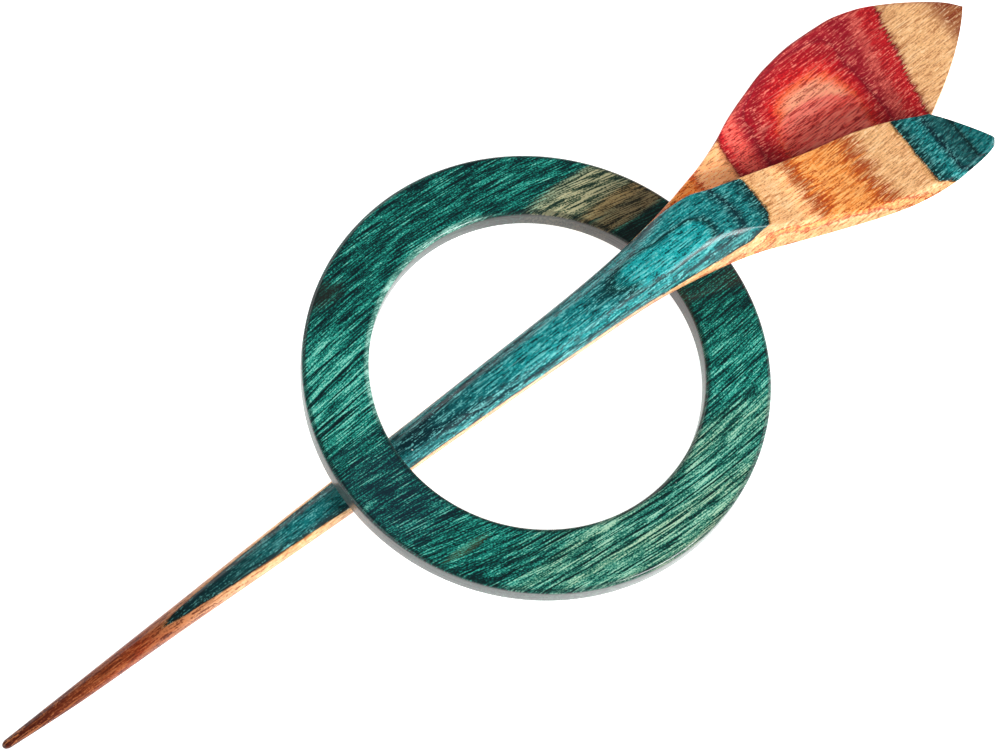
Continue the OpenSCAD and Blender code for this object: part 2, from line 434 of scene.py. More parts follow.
# Soft lights of the studio: name, place, size and power in watts
LIGHTS = [
    ("key", (0.24, -0.58, 0.4), (0.32, 0.25), 6.6),
    ("left", (-0.78, 0.0, 0.34), (0.6, 0.5), 2.6),
    ("right", (0.72, -0.32, 0.34), (0.5, 0.4), 2.0),
    ("back", (0.05, 0.75, 0.38), (0.7, 0.4), 2.8),
]


class Curve:
    """Smooth curve through one column of a table, which doesn't swing past its rows."""

    def __init__(self, rows, column=1):
        self.x = [row[0] for row in rows]
        self.y = [row[column] for row in rows]
        rises = [
            (self.y[i + 1] - self.y[i]) / (self.x[i + 1] - self.x[i]) for i in range(len(rows) - 1)
        ]
        self.slope = [rises[0]]
        for a, b in zip(rises, rises[1:]):
            self.slope.append(0.0 if a * b <= 0 else 2 * a * b / (a + b))
        self.slope.append(rises[-1])

    def __call__(self, x):
        i = 0
        while i < len(self.x) - 2 and x >= self.x[i + 1]:
            i += 1
        h = self.x[i + 1] - self.x[i]
        s = max(0.0, min(1.0, (x - self.x[i]) / h))
        r = 1 - s
        return (
            self.y[i] * (1 + 2 * s) * r * r
            + self.slope[i] * h * s * r * r
            + self.y[i + 1] * (1 + 2 * r) * s * s
            - self.slope[i + 1] * h * r * s * s
        )


def mix(a, b, t):
    return a + (b - a) * t


def ease(t):
    s = max(0.0, min(1.0, t))
    return s * s * (3 - 2 * s)


def swell(t, n):
    """Height of a rounded quarter: 1 at t = 0 and 0 at t = 1, an ellipse when n is 2."""
    return max(0.0, 1 - max(0.0, t) ** n) ** (1 / n)


class StickShape:
    """Works out the points of the stick, section by section, from the tables above."""

    # Lines along the stick on the roll, the rest of the front petal, the back petal and its rim
    roll_lines = 22
    front_lines = 26
    back_lines = 22
    rim_lines = 11
    step_line = roll_lines + front_lines + 1
    last_line = step_line + back_lines + rim_lines + 1

    # Sizes in millimetres, powers of curves, and one angle in degrees
    neck_start = 98.0
    neck_end = 111.0
    dish_start = 113.0
    dish_length = 5.0
    front_len = 145.6
    notch_len = 141.4
    stick_len = 155.0
    back_roll = 0.7
    step_bevel = 0.12
    step_lean = 0.15
    front_bulge = 0.15
    back_bulge = 1.4
    bulge_power = 4
    belly_round = 2.2
    front_end_round = 1.6
    back_end_round = 1.3
    point_round = 0.8
    point_square = 2.1
    neck_square = 2.6
    shoulder = 32.0
    tip_places = (0.02, 0.06, 0.12, 0.2, 0.3, 0.42, 0.56, 0.72, 0.9, 1.2, 1.6, 2.1, 2.7)
    tip_end = 3.4
    last_steps = (0.6, 0.3, 0)
    least_drop = 0.4
    drop_range = 1.2
    shade_reach = 1.15
    rim_start = 104.0
    rim_range = 6.0

    def __init__(self):
        self.low = Curve(LOW_EDGE)
        self.low_rim = Curve(LOW_EDGE, 2)
        self.high = Curve(HIGH_EDGE)
        self.high_rim = Curve(HIGH_EDGE, 2)
        self.step = Curve(STEP_EDGE)
        self.front = Curve(FRONT_TOP)
        self.back = [Curve(BACK_TOP, column) for column in (1, 2, 3)]
        self.foot = Curve(HEAD_FOOT)
        self.roll = Curve(FRONT_ROLL)
        self.profile = Curve(ROLL_PROFILE)
        self.neck_profile = Curve(NECK_PROFILE)

    def sections(self, shaft_step, head_count):
        """Places along the stick: at its right edge, at the step and at its left edge."""
        places = list(self.tip_places)
        x = self.tip_end
        while x < self.neck_start - shaft_step / 2:
            places.append(x)
            x += shaft_step
        rows = [(x, x, x, 0.0) for x in places]
        shares = [i / head_count for i in range(head_count)]
        shares += [1 - part / head_count for part in self.last_steps]
        for f in shares:
            ends = (self.front_len, self.notch_len, self.stick_len)
            rows.append((*(mix(self.neck_start, end, f) for end in ends), f))
        return rows

    def plan(self, a, b, t, bulge, f):
        bow = bulge * 4 * t * (1 - t) * f**self.bulge_power
        return mix(a[0], b[0], t) + bow, mix(a[1], b[1], t)

    def front_point(self, s, j, top):
        a = (s[0], self.low(s[0]))
        b = (s[1], self.step(s[1]))
        width = math.dist(a, b)
        roll = self.roll(s[0])
        share = min(1.0, j / self.roll_lines)
        if j <= self.roll_lines:
            across = roll * share
        elif j < self.step_line:
            across = mix(roll, width - self.step_bevel, (j - self.roll_lines) / self.front_lines)
        else:
            across = width
        x, y = self.plan(a, b, across / width, self.front_bulge, s[3])
        rim = self.low_rim(s[0])
        if top:
            dished = ease((s[0] - self.dish_start) / self.dish_length)
            down = mix(self.neck_profile(share), self.profile(share), dished)
            z = mix(self.front(x), rim, down)
            return x, y, z - (self.step_bevel if j == self.step_line else 0.0)
        t = max(0.0, (y - a[1]) / (b[1] - a[1]))
        belly = mix(swell(1 - t, self.belly_round), t**self.front_end_round, ease(s[3]))
        return x, y, mix(rim, self.foot(s[1]), belly)

    def back_point(self, s, j, top):
        a = (s[1] + self.step_lean * s[3], self.step(s[1]) + self.step_lean)
        b = (s[2], self.high(s[2]))
        width = math.dist(a, b)
        k = j - self.step_line - 1
        inner = width - self.back_roll
        turn = 90 * (k - self.back_lines) / self.rim_lines
        if k <= self.back_lines:
            across = inner * k / self.back_lines
        else:
            across = inner + self.back_roll * math.sin(math.radians(turn))
        x, y = self.plan(a, b, across / width, self.back_bulge, s[3])
        step_y = self.step(s[1])
        rim = self.high_rim(s[2])
        t = max(0.0, min(1.0, (y - step_y) / (b[1] - step_y)))
        if top:
            late = t ** self.back[2](x)
            down = 1 - math.cos(math.radians(turn)) if turn > 0 else 0.0
            return x, y, mix(mix(self.back[0](x), self.back[1](x), late), rim, down)
        belly = swell(t, mix(self.belly_round, self.back_end_round, s[3]))
        return x, y, mix(rim, self.foot(s[1]), belly)

    def shaft_point(self, s, j, top):
        x = s[1]
        if j <= self.step_line:
            angle = mix(180, self.shoulder, j / self.step_line)
        else:
            angle = mix(self.shoulder, 0, (j - self.step_line) / (self.last_line - self.step_line))
        angle = math.radians(angle)
        low, high = self.low(x), self.high(x)
        rim = mix(self.low_rim(x), self.high_rim(x), j / self.last_line)
        tip = math.sqrt(1 - (1 - x / self.point_round) ** 2) if x < self.point_round else 1.0
        power = 2 / mix(self.point_square, self.neck_square, ease(x / self.neck_start))
        across = math.copysign(abs(math.cos(angle)) ** power, math.cos(angle))
        up = abs(math.sin(angle)) ** power
        reach = self.front(x) - rim if top else rim - (POINT_FOOT - x * UNDERSIDE_FALL)
        y = (low + high) / 2 + tip * across * (high - low) / 2
        return x, y, rim + (1 if top else -1) * tip * up * reach

    def point(self, s, j, top):
        t = ease((s[1] - self.neck_start) / (self.neck_end - self.neck_start))
        if t == 0:
            return self.shaft_point(s, j, top)
        head = self.front_point if j <= self.step_line else self.back_point
        if t == 1:
            return head(s, j, top)
        return tuple(mix(a, b, t) for a, b in zip(self.shaft_point(s, j, top), head(s, j, top)))

    def step_shade(self, drop, away):
        """Painted shade below a step of this height, at this distance from it."""
        deep = ease((drop - self.least_drop) / self.drop_range)
        return deep * math.exp(-((away / self.shade_reach) ** 2))

    def rim_shade(self, s, j):
        """Painted shade on the back petal's rounded rim, darker as it turns down; it starts at the
        neck.
        """
        turned = 1 - (self.last_line - j) / self.rim_lines
        return ease(1.3 * turned) * ease((s[1] - self.rim_start) / self.rim_range)

    def side_share(self, j):
        """How far a line of the roll counts as the outside: 1 at the edge, 0 on top."""
        return 1 - ease(1.6 * j / self.roll_lines - 0.3)

    def loop(self, s):
        """One section: across its top from right to left, then back under it."""
        top = [self.point(s, j, True) for j in range(self.last_line + 1)]
        under = [self.point(s, j, False) for j in range(self.last_line - 1, 0, -1)]
        return top + under


class Value:
    """A number that changes over a surface, for use in plain expressions."""

    def __init__(self, graph, socket):
        self.graph = graph
        self.socket = socket

    def math(self, operation, *values):
        return self.graph.add("ShaderNodeMath", {"operation": operation}, dict(enumerate(values)))

    def __add__(self, other):
        return self.math("ADD", self, other)

    __radd__ = __add__

    def __sub__(self, other):
        return self.math("SUBTRACT", self, other)

    def __rsub__(self, other):
        return self.math("SUBTRACT", other, self)

    def __mul__(self, other):
        return self.math("MULTIPLY", self, other)

    __rmul__ = __mul__

    def __truediv__(self, other):
        return self.math("DIVIDE", self, other)

    def __rtruediv__(self, other):
        return self.math("DIVIDE", other, self)

    def __pow__(self, other):
        return self.math("POWER", self, other)

    def __abs__(self):
        return self.math("ABSOLUTE", self)

    def at_most(self, other):
        return self.math("MINIMUM", self, other)

    def at_least(self, other):
        return self.math("MAXIMUM", self, other)

    def whole(self):
        return self.math("FLOOR", self)

    def within(self, start, end, *fall):
        """0 up to start and 1 from end, with a smooth rise; it falls if end is the lower.

        Two more numbers make it fall again, from 1 at the first to 0 at the second."""
        if fall:
            return self.within(start, end) * self.within(*reversed(fall))
        low, high = min(start, end), max(start, end)
        rise = self.graph.add(
            "ShaderNodeMapRange",
            {"interpolation_type": "SMOOTHSTEP"},
            {0: self, 1: low, 2: high, 3: 0.0, 4: 1.0},
        )
        return rise if start < end else 1 - rise


class Graph:
    """The nodes of one material."""

    def __init__(self, name):
        self.material = bpy.data.materials.new(name)
        self.material.use_nodes = True
        self.tree = self.material.node_tree
        self.tree.nodes.clear()

    def add(self, kind, settings=None, sockets=None, output=0):
        """Adds a node: its type, its settings, then the values or links of its sockets."""
        node = self.tree.nodes.new(kind)
        count = len(self.tree.nodes)
        node.location = (220 * (count % 16), -260 * (count // 16))
        for key, value in (settings or {}).items():
            if key == "stops":
                self.set_stops(node.color_ramp, value)
            else:
                setattr(node, key, value)
        for key, value in (sockets or {}).items():
            socket = node.inputs[key]
            if isinstance(value, Value):
                self.tree.links.new(value.socket, socket)
            elif socket.type == "RGBA" and len(value) == 3:
                socket.default_value = (*value, 1.0)
            else:
                socket.default_value = value
        return Value(self, node.outputs[output]) if node.outputs else None

    @staticmethod
    def set_stops(ramp, stops):
        ramp.interpolation = stops["interpolation"]
        rows = stops["rows"]
        while len(ramp.elements) < len(rows):
            ramp.elements.new(1.0)
        for element, (position, colour) in zip(ramp.elements, rows):
            element.position = position
            element.color = (*colour, 1.0)

    def ramp(self, value, rows, low=0.0, high=1.0, interpolation="LINEAR"):
        """Colour along a value, from rows of value and colour."""
        rows = [((at - low) / (high - low), colour) for at, colour in rows]
        return self.add(
            "ShaderNodeValToRGB",
            {"stops": {"interpolation": interpolation, "rows": rows}},
            {0: (value - low) / (high - low)},
        )

    def grey_ramp(self, value, rows):
        """Grey along a value, from rows of value and brightness."""
        greys = [(at, (level,) * 3) for at, level in rows]
        return self.ramp(value, greys, rows[0][0], rows[-1][0])

    def blend(self, factor, a, b, mode="MIX"):
        """Colour between a and b."""
        return self.add(
            "ShaderNodeMix",
            {"data_type": "RGBA", "blend_type": mode},
            {0: factor, 6: a, 7: b},
            output=2,
        )

    def tint(self, colour, other, factor=1.0):
        """Multiplies a colour by another."""
        return self.blend(factor, colour, other, "MULTIPLY")

    def attribute(self, name):
        """A number that the mesh holds for each of its points."""
        return self.add("ShaderNodeAttribute", {"attribute_name": name}, output=2)

    def combine(self, x, y, z):
        return self.add("ShaderNodeCombineXYZ", {}, {0: x, 1: y, 2: z})

    def along(self, point, origin, axis):
        """Millimetres from the origin along an axis."""
        offset = self.add("ShaderNodeVectorMath", {"operation": "SUBTRACT"}, {0: point, 1: origin})
        far = self.add(
            "ShaderNodeVectorMath", {"operation": "DOT_PRODUCT"}, {0: offset, 1: axis}, output=1
        )
        return far * (1 / MM)

    def noise(self, x, y, z, sizes, detail=2.0, roughness=0.5, shift=0.0):
        """Noise from 0 to 1 whose grains have these sizes in millimetres."""
        place = self.combine(x / sizes[0] + shift, y / sizes[1] + shift, z / sizes[2])
        return self.add(
            "ShaderNodeTexNoise",
            {"noise_dimensions": "3D"},
            {"Vector": place, "Scale": 1.0, "Detail": detail, "Roughness": roughness},
        )

    def specks(self, x, y, z, size, radius, share):
        """1 in small round spots, in this share of the cells of a loose grid."""
        place = self.combine(x / size, y / size, z / size)
        near = {"Vector": place, "Scale": 1.0, "Randomness": 1.0}
        settings = {"voronoi_dimensions": "3D", "feature": "F1"}
        distance = self.add("ShaderNodeTexVoronoi", settings, near, output=0)
        cell = self.add("ShaderNodeTexVoronoi", settings, near, output=1)
        pick = self.add("ShaderNodeSeparateXYZ", {}, {0: cell})
        spot = distance.within(radius / size, 0.4 * radius / size)
        return spot * pick.within(1 - share, 1 - share + 0.02)

    def lacquer(self, colour, roughness, relief, depth, coat, coat_roughness):
        """Finishes the material: lacquered wood of this colour, with a little relief."""
        bump = self.add("ShaderNodeBump", {}, {"Height": relief, "Distance": depth})
        shader = self.add(
            "ShaderNodeBsdfPrincipled",
            {},
            {
                "Base Color": colour,
                "Roughness": roughness,
                "Normal": bump,
                "Specular IOR Level": 0.1,
                "Coat Weight": coat,
                "Coat Roughness": coat_roughness,
                "Coat IOR": 1.5,
            },
        )
        self.add("ShaderNodeOutputMaterial", {}, {"Surface": shader})
        return self.material


class RingSettings(bpy.types.PropertyGroup):
    outer_diameter: bpy.props.FloatProperty(
        name="Outer diameter",
        description="Distance across the ring",
        default=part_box("ring")[1][1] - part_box("ring")[0][1],
        unit="LENGTH",
    )
    hole_diameter: bpy.props.FloatProperty(
        name="Hole diameter",
        description="Distance across the ring's hole",
        default=0.043,
        unit="LENGTH",
    )
    thickness: bpy.props.FloatProperty(
        name="Thickness", description="Thickness of the ring", default=0.0035, unit="LENGTH"
    )
    edge_radius: bpy.props.FloatProperty(
        name="Edge radius",
        description="Radius of the ring's rounded edges",
        default=0.0006,
        unit="LENGTH",
    )
    lean: bpy.props.FloatProperty(
        name="Lean",
        description="Lean of the ring towards the stick's head",
        default=math.radians(9),
        subtype="ANGLE",
    )
    centre: bpy.props.FloatVectorProperty(
        name="Centre",
        description="Centre of the ring",
        default=[(a + b) / 2 for a, b in zip(*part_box("ring"))],
        subtype="TRANSLATION",
    )
    dark_colour: bpy.props.FloatVectorProperty(
        name="Dark streaks",
        description="Colour of the ring's dark streaks",
        default=(0.001, 0.01, 0.013),
        subtype="COLOR",
    )
    stain_colour: bpy.props.FloatVectorProperty(
        name="Stain",
        description="Main colour of the ring",
        default=(0.003, 0.1, 0.082),
        subtype="COLOR",
    )
    light_colour: bpy.props.FloatVectorProperty(
        name="Light streaks",
        description="Colour of the ring's light streaks",
        default=(0.04, 0.38, 0.29),
        subtype="COLOR",
    )


class StickSettings(bpy.types.PropertyGroup):
    grain_rise: bpy.props.FloatProperty(
        name="Rise of the grain",
        description="Angle at which the stick's grain rises towards its head",
        default=math.radians(3.9311),
        subtype="ANGLE",
    )
    offset: bpy.props.FloatProperty(
        name="Offset",
        description="Distance of the stick's line from the ring's centre",
        default=0.00196,
        unit="LENGTH",
    )
    point_x: bpy.props.FloatProperty(
        name="Point",
        description="Place of the stick's point along the ground",
        default=-0.0772896,
        unit="LENGTH",
    )
    shaft_step: bpy.props.FloatProperty(
        name="Shaft step",
        description="Distance between sections along the shaft",
        default=0.0008,
        unit="LENGTH",
    )
    head_sections: bpy.props.IntProperty(
        name="Head sections", description="Number of sections along the head", default=170
    )


class StageSettings(bpy.types.PropertyGroup):
    floor_size: bpy.props.FloatProperty(
        name="Floor size",
        description="Distance from the floor's middle to its edges",
        default=3.0,
        unit="LENGTH",
    )
    floor_colour: bpy.props.FloatVectorProperty(
        name="Floor",
        description="Colour of the floor",
        default=(0.93, 0.93, 0.93),
        subtype="COLOR",
    )
    floor_glow: bpy.props.FloatProperty(
        name="Glow", description="Light that the floor gives, like a light table", default=0.9
    )
    world_strength: bpy.props.FloatProperty(
        name="Surroundings", description="Strength of the light from all round", default=0.14
    )
    camera_distance: bpy.props.FloatProperty(
        name="Camera distance",
        description="Distance of the camera from the ring's centre",
        default=0.4188,
        unit="LENGTH",
    )
    camera_slant: bpy.props.FloatProperty(
        name="Camera slant",
        description="Angle of the view from straight down",
        default=math.radians(17.04),
        subtype="ANGLE",
    )
    camera_turn: bpy.props.FloatProperty(
        name="Camera turn",
        description="Turn of the pin in the picture",
        default=math.radians(36.5),
        subtype="ANGLE",
    )
    camera_shift: bpy.props.FloatVectorProperty(
        name="Camera shift",
        description="How far left of the ring's centre and below it the camera looks",
        default=(0.004683, 0.000381),
        size=2,
        unit="LENGTH",
    )
    lens: bpy.props.FloatProperty(
        name="Lens", description="Focal length, in millimetres", default=118.8, subtype="DISTANCE"
    )


def add_object(name, bm, material):
    """Makes an object from a mesh that is being built."""
    mesh = bpy.data.meshes.new(name)
    bm.to_mesh(mesh)
    bm.free()
    mesh.materials.append(material)
    made = bpy.data.objects.new(name, mesh)
    bpy.context.scene.collection.objects.link(made)
    return made


def add_piece(name, bm, material):
    """Makes a piece of the shawl pin, smooth but for its sharp edges."""
    piece = add_object(name, bm, material)
    mesh = piece.data
    mesh.polygons.foreach_set("use_smooth", [True] * len(mesh.polygons))
    mesh.set_sharp_from_angle(angle=SHARP_ANGLE)
    return piece


def ring_axes(settings):
    """Directions of the leaning ring: along the ground's X, across, and out of its face."""
    lean = settings.lean
    return (
        Vector((math.cos(lean), 0, -math.sin(lean))),
        Vector((0, 1, 0)),
        Vector((math.sin(lean), 0, math.cos(lean))),
    )


def ring_wood(settings):
    """Stained wood with fine streaks along X, broad light and dark places, and ply lines."""
    graph = Graph("ring wood")
    point = graph.add("ShaderNodeTexCoord", output=3)
    axes = ring_axes(settings)
    u, v0, h = (graph.along(point, settings.centre, axis) for axis in axes)
    sway = graph.noise(u, v0, h, (34, 20, 90), detail=1.0) - 0.5
    v = v0 + sway * 1.6 + 0.0038 * u * u * (v0 / 12).at_least(-1.0).at_most(1.0)
    fine = graph.noise(u, v, h, (2.6, 0.145, 0.5), detail=0.0, shift=5.1)
    sparkle = graph.noise(u, v, h, (0.26, 0.145, 0.3), detail=0.0, shift=2.9)
    hairs = graph.noise(u, v, h, (7.0, 0.32, 0.8), detail=1.0, roughness=0.6)
    gaps = graph.noise(u, v, h, (16.0, 0.42, 2.0), detail=1.0, roughness=0.6, shift=1.3)
    streaks = graph.noise(u, v, h, (20.0, 1.1, 3.0), roughness=0.6, shift=7.3)
    bands = graph.noise(u, v, h, (40.0, 3.2, 9.0), shift=3.1)
    level = 1.35 * (fine - 0.5) + 1.0 * (sparkle - 0.5) + 0.25 * (hairs - 0.5)

    def place(name):
        """1 at a place on the ring's face, fading to 0 round it."""
        middle_u, middle_v, half_u, half_v = RING_PLACES[name]
        far = ((u - middle_u) / half_u) ** 2.0 + ((v0 - middle_v) / half_v) ** 2.0
        return (far + 1.6 * (streaks - 0.5) + 1.2 * (hairs - 0.5)).within(1.5, 0.2)

    places = {name: place(name) for name in RING_PLACES}
    tone = 0.37 + level * (1 + 0.3 * places["navy"]) + 0.3 * (bands - 0.5)
    streaky, gappy = 0.12, 0.06
    for name, lighter, more_streaks, more_gaps in RING_TONES:
        tone = tone + lighter * places[name]
        streaky = streaky + more_streaks * places[name]
        gappy = gappy + more_gaps * places[name]
    tone = tone + streaky * (streaks - 0.5) - gappy * gaps.within(0.47, 0.36)
    rows = [
        (0.08, settings.dark_colour),
        (0.28, (0.001, 0.036, 0.034)),
        (0.46, settings.stain_colour),
        (0.62, (0.01, 0.215, 0.165)),
        (0.8, settings.light_colour),
        (1.0, (0.22, 0.62, 0.49)),
    ]
    colour = graph.ramp(tone, rows)
    straw = places["pale"] * (0.3 + 1.6 * (bands - 0.42))
    colour = graph.blend(straw, colour, graph.ramp(tone, STRAW_WOOD))
    bare_tone = tone + 0.7 * (fine - 0.5) + 0.25
    for name, strength, rows in RING_WOODS:
        colour = graph.blend(places[name] * strength, colour, graph.ramp(bare_tone, rows))
    for name, strength, stain in RING_STAINS:
        colour = graph.blend(places[name] * strength, colour, stain)

    # Painted shade: the rounded edges are darker, but a length of the hole's edge that faces the
    # key light gets a painted highlight instead
    outer, inner, half = (
        size / 2 / MM
        for size in (settings.outer_diameter, settings.hole_diameter, settings.thickness)
    )
    reach = (u * u + v0 * v0) ** 0.5
    hole = reach.within(inner + 0.8, inner + 0.45)
    edge = hole.at_least(reach.within(outer - 0.7, outer - 0.4)) * h.within(0.6, 1.0)
    colour = graph.blend(edge * 0.6, colour, (0.002, 0.012, 0.012))
    # Painted highlight on the hole's rounded edge, where it faces the key light
    wear_and_highlight = hole * ((v0 * 0.88 - u * 0.48) / reach).within(0.62, 0.84)
    colour = graph.blend(wear_and_highlight * 0.85, colour, graph.ramp(tone, LIT_EDGE_WOOD))

    # The walls cut through the plies: fine lines, and greyer wood
    face = abs(h).within(half - 0.55, half - 0.3)
    ply = graph.noise(u, v, h, (7.0, 7.0, 0.12), shift=2.2)
    colour = graph.blend((1 - face) * 0.9, colour, graph.ramp(ply, PLY_WOOD))
    # Small pale specks
    pale_specks = graph.specks(u, v0, h, 2.6, 0.13, 0.07)
    colour = graph.blend(pale_specks, colour, (0.55, 0.68, 0.64))
    roughness = 0.26 + 0.2 * hairs
    relief = hairs * 0.5 + streaks * 0.5
    return graph.lacquer(colour, roughness, relief, depth=0.00006, coat=0.5, coat_roughness=0.15)


class SHAWLPIN_OT_ring(bpy.types.Operator):
    """Builds the flat ring with rounded edges"""

    bl_idname = "shawlpin.ring"
    bl_label = "Ring"

    def execute(self, context):
        settings = context.scene.shawlpin_ring
        outer, hole = settings.outer_diameter / 2, settings.hole_diameter / 2
        half, edge = settings.thickness / 2, settings.edge_radius
        profile = []
        corners = ((outer, half, 0), (hole, half, 90), (hole, -half, 180), (outer, -half, 270))
        for radius, height, start in corners:
            centre_r = radius - math.copysign(edge, radius - (outer + hole) / 2)
            centre_h = height - math.copysign(edge, height)
            for i in range(EDGE_STEPS + 1):
                turn = math.radians(start + 90 * i / EDGE_STEPS)
                place = (centre_r + edge * math.cos(turn), centre_h + edge * math.sin(turn))
                profile.append(place)
        bm = bmesh.new()
        axes = ring_axes(settings)
        rings = []
        for i in range(RING_STEPS):
            turn = 2 * math.pi * i / RING_STEPS
            loop = []
            for radius, height in profile:
                place = Vector(settings.centre)
                place += axes[0] * radius * math.cos(turn) + axes[1] * radius * math.sin(turn)
                loop.append(bm.verts.new(place + axes[2] * height))
            rings.append(loop)
        for i in range(RING_STEPS):
            here, ahead = rings[i], rings[(i + 1) % RING_STEPS]
            for j in range(len(profile)):
                k = (j + 1) % len(profile)
                bm.faces.new((here[j], ahead[j], ahead[k], here[k]))
        bmesh.ops.recalc_face_normals(bm, faces=bm.faces)
        piece = add_piece("ring_stained", bm, ring_wood(settings))
        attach(piece, "ring")
        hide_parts("ring")
        return {"FINISHED"}


def stick_frame(settings):
    """Origin of the stick's tables, and the directions along, across and out of its grain."""
    rise = settings.grain_rise
    along = Vector((math.cos(rise), 0, math.sin(rise)))
    up = Vector((-math.sin(rise), 0, math.cos(rise)))
    origin = Vector((settings.point_x, settings.offset, 0)) - up * POINT_FOOT * MM
    return origin, (along, Vector((0, 1, 0)), up)


def layered_wood(settings):
    """Layers of dyed wood, seen where the carving cuts through them."""
    graph = Graph("layered wood")
    point = graph.add("ShaderNodeTexCoord", output=3)
    origin, axes = stick_frame(settings)
    x, y, w0 = (graph.along(point, origin, axis) for axis in axes)
    side = graph.attribute("side")
    painted_step_shade = graph.attribute("painted_step_shade")
    painted_rim_shade = graph.attribute("painted_rim_shade")

    # Dye creeps along the fibres, so the borders of the layers are ragged along the grain
    creep = graph.noise(x, y, w0, (6.5, 0.24, 0.9), roughness=0.6)
    wander = graph.noise(x, y, w0, (16.0, 5.0, 5.0), detail=1.0, shift=4.4)
    ragged = 0.12 + 1.3 * w0.within(-3.2, -2.6, -1.0, -0.4)
    calm = 1 - 0.8 * w0.within(-0.3, 0.4)
    drift = 0.2 * side
    for higher, along, across in LAYER_DRIFT:
        drift = drift + higher * y.within(*across) * x.within(*along)
    rising = (y + 0.8).at_least(0.0)
    drift = drift - (rising * rising).at_most(12.0) * x.within(98, 104) * (
        0.024 * x.within(116, 114) + 0.052 * x.within(112, 109)
    )
    above = w0.within(-1.4, -1.0)
    drift = drift - 0.2 * x.within(115.5, 116.5, 117.8, 118.4) * y.within(2.0, 3.0) * above
    w = w0 + drift + (creep - 0.5) * ragged + (wander - 0.5) * 0.16 * calm

    # On the back petal the tan layer begins along a straight slanting line
    tip_start, tip_slant = TIP_LINE
    behind = x.within(138.6, 140.6) * w0.within(-1.5, -1.8)
    line = x - tip_start - tip_slant * y + (creep - 0.5) * 2.6
    pull = line.at_least(-4.6).at_most(3.0) * 0.24 - 3.6 - w
    w = w + behind * pull.at_most(0.8).at_least(-0.8)
    layer = (w / LAYER).whole()

    # Fine fibres, different in each layer
    shifted = x + layer * 37.0
    fine = graph.noise(shifted, y, w0, (1.5, 0.17, 0.4), detail=0.0, shift=5.1)
    sparkle = graph.noise(shifted, y, w0, (0.26, 0.17, 0.3), detail=0.0, shift=2.9)
    hairs = graph.noise(shifted, y, w0, (4.5, 0.3, 0.6), detail=1.0, roughness=0.6)
    streaks = graph.noise(shifted, y, w0, (11.0, 0.9, 1.2), shift=9.1)
    clouds = graph.noise(shifted, y, w0, (13.0, 3.0, 1.5), shift=1.7)
    dye = w + ((streaks - 0.5) * 0.22 + (clouds - 0.5) * 0.14) * calm
    cool = graph.ramp(dye, COOL_WOOD, COOL_LOW, COOL_HIGH)
    warm = graph.ramp(dye, WARM_WOOD, WARM_LOW, COOL_LOW)

    # The deepest red layer is lighter in an arch round the bowl's floor
    middle, slant, half, foot, length, power = ARCH
    wide = abs(x - slant * y - middle) / half
    bowl = (wide**power + ((y - foot).at_least(0.0) / length) ** power) ** (1 / power)
    bowl = bowl + (streaks - 0.5) * 0.3
    arch = graph.ramp(bowl, ARCH_WOOD, 0.0, ARCH_HIGH)
    middle_x, middle_y, half_x, half_y = BOWL_FLOOR
    floor = (((x - middle_x) / half_x) ** 2.0 + ((y - middle_y) / half_y) ** 2.0) ** 0.5
    floor = floor + (hairs - 0.5) * 0.16
    pink = graph.ramp(streaks + (fine - 0.5) * 0.5, FLOOR_WOOD)
    arch = graph.blend(floor.within(1.03, 0.95) * bowl.within(0.9, 0.76) * 0.9, arch, pink)
    warm = graph.blend(dye.within(-4.84, -5.0), warm, arch)
    scarlet = behind * line.within(-3.0, -2.2, -0.5, -0.1)
    warm = graph.blend(scarlet * 0.95, warm, (0.52, 0.012, 0.018))

    # Painted light: the back petal is made lighter beside the neck, against the shade that falls
    # there
    painted_light_by_neck = x.within(104, 108, 121.5, 123.4) * w0.within(-0.6, -0.9) * (1 - side)
    warm = graph.tint(warm, (1.55, 1.3, 1.22), painted_light_by_neck)

    # Outside the petals the orange layer is hardly dyed
    pale = side * dye.within(-2.34, -2.24, -1.34, -1.22)
    warm = graph.blend(pale * 0.85, warm, (0.78, 0.4, 0.17))
    colour = graph.blend(dye.within(-0.22, -0.18), warm, cool)
    dark_fibre = graph.ramp(w, DARK_FIBRES, WARM_LOW, COOL_HIGH, "CONSTANT")
    light_fibre = graph.ramp(w, LIGHT_FIBRES, WARM_LOW, COOL_HIGH, "CONSTANT")

    # The teal is duller towards the point and at the petal's tip
    teal = w.within(-0.02, 0.02)
    shade = graph.grey_ramp(x, TEAL_SHADE)
    colour = graph.tint(colour, shade, teal)
    light_fibre = graph.tint(light_fibre, shade, teal)

    # Towards the point the bare wood is darker and browner
    wear_and_highlight = (1 - teal) * x.within(46, 24)
    brown = graph.ramp(x + (streaks - 0.5) * 6.0, POINT_WOOD, 0.0, POINT_HIGH)
    colour = graph.blend(wear_and_highlight, colour, brown)
    dark_fibre = graph.blend(wear_and_highlight, dark_fibre, (0.1, 0.014, 0.004))
    light_fibre = graph.blend(wear_and_highlight, light_fibre, (0.38, 0.12, 0.04))

    # The back petal's tip is red-brown
    tip = x.within(150.4, 153.0) * (0.6 + 1.6 * (creep - 0.3)).at_most(1.0).at_least(0.0)
    colour = graph.blend(tip, colour, (0.22, 0.032, 0.012))

    # Fibres show most in the dyed layers
    rough = (teal + wear_and_highlight).at_most(1.0)
    strong = 0.65 + 0.2 * rough + 0.2 * w.within(-3.5, -3.7)
    strong = strong + 0.3 * w.within(-2.7, -2.3, -1.2, -0.9)
    grain = 0.6 * fine + 0.4 * sparkle
    grey = 1 + (1.0 + 1.3 * rough) * (grain - 0.5)
    colour = graph.tint(colour, graph.combine(grey, grey, grey))
    for fibres, share, dark, light in (
        (grain, strong, (0.48, 0.32), (0.54, 0.72)),
        (hairs, strong * 0.6, (0.46, 0.3), (0.56, 0.76)),
    ):
        colour = graph.blend(fibres.within(*dark) * share, colour, dark_fibre)
        colour = graph.blend(fibres.within(*light) * share, colour, light_fibre)
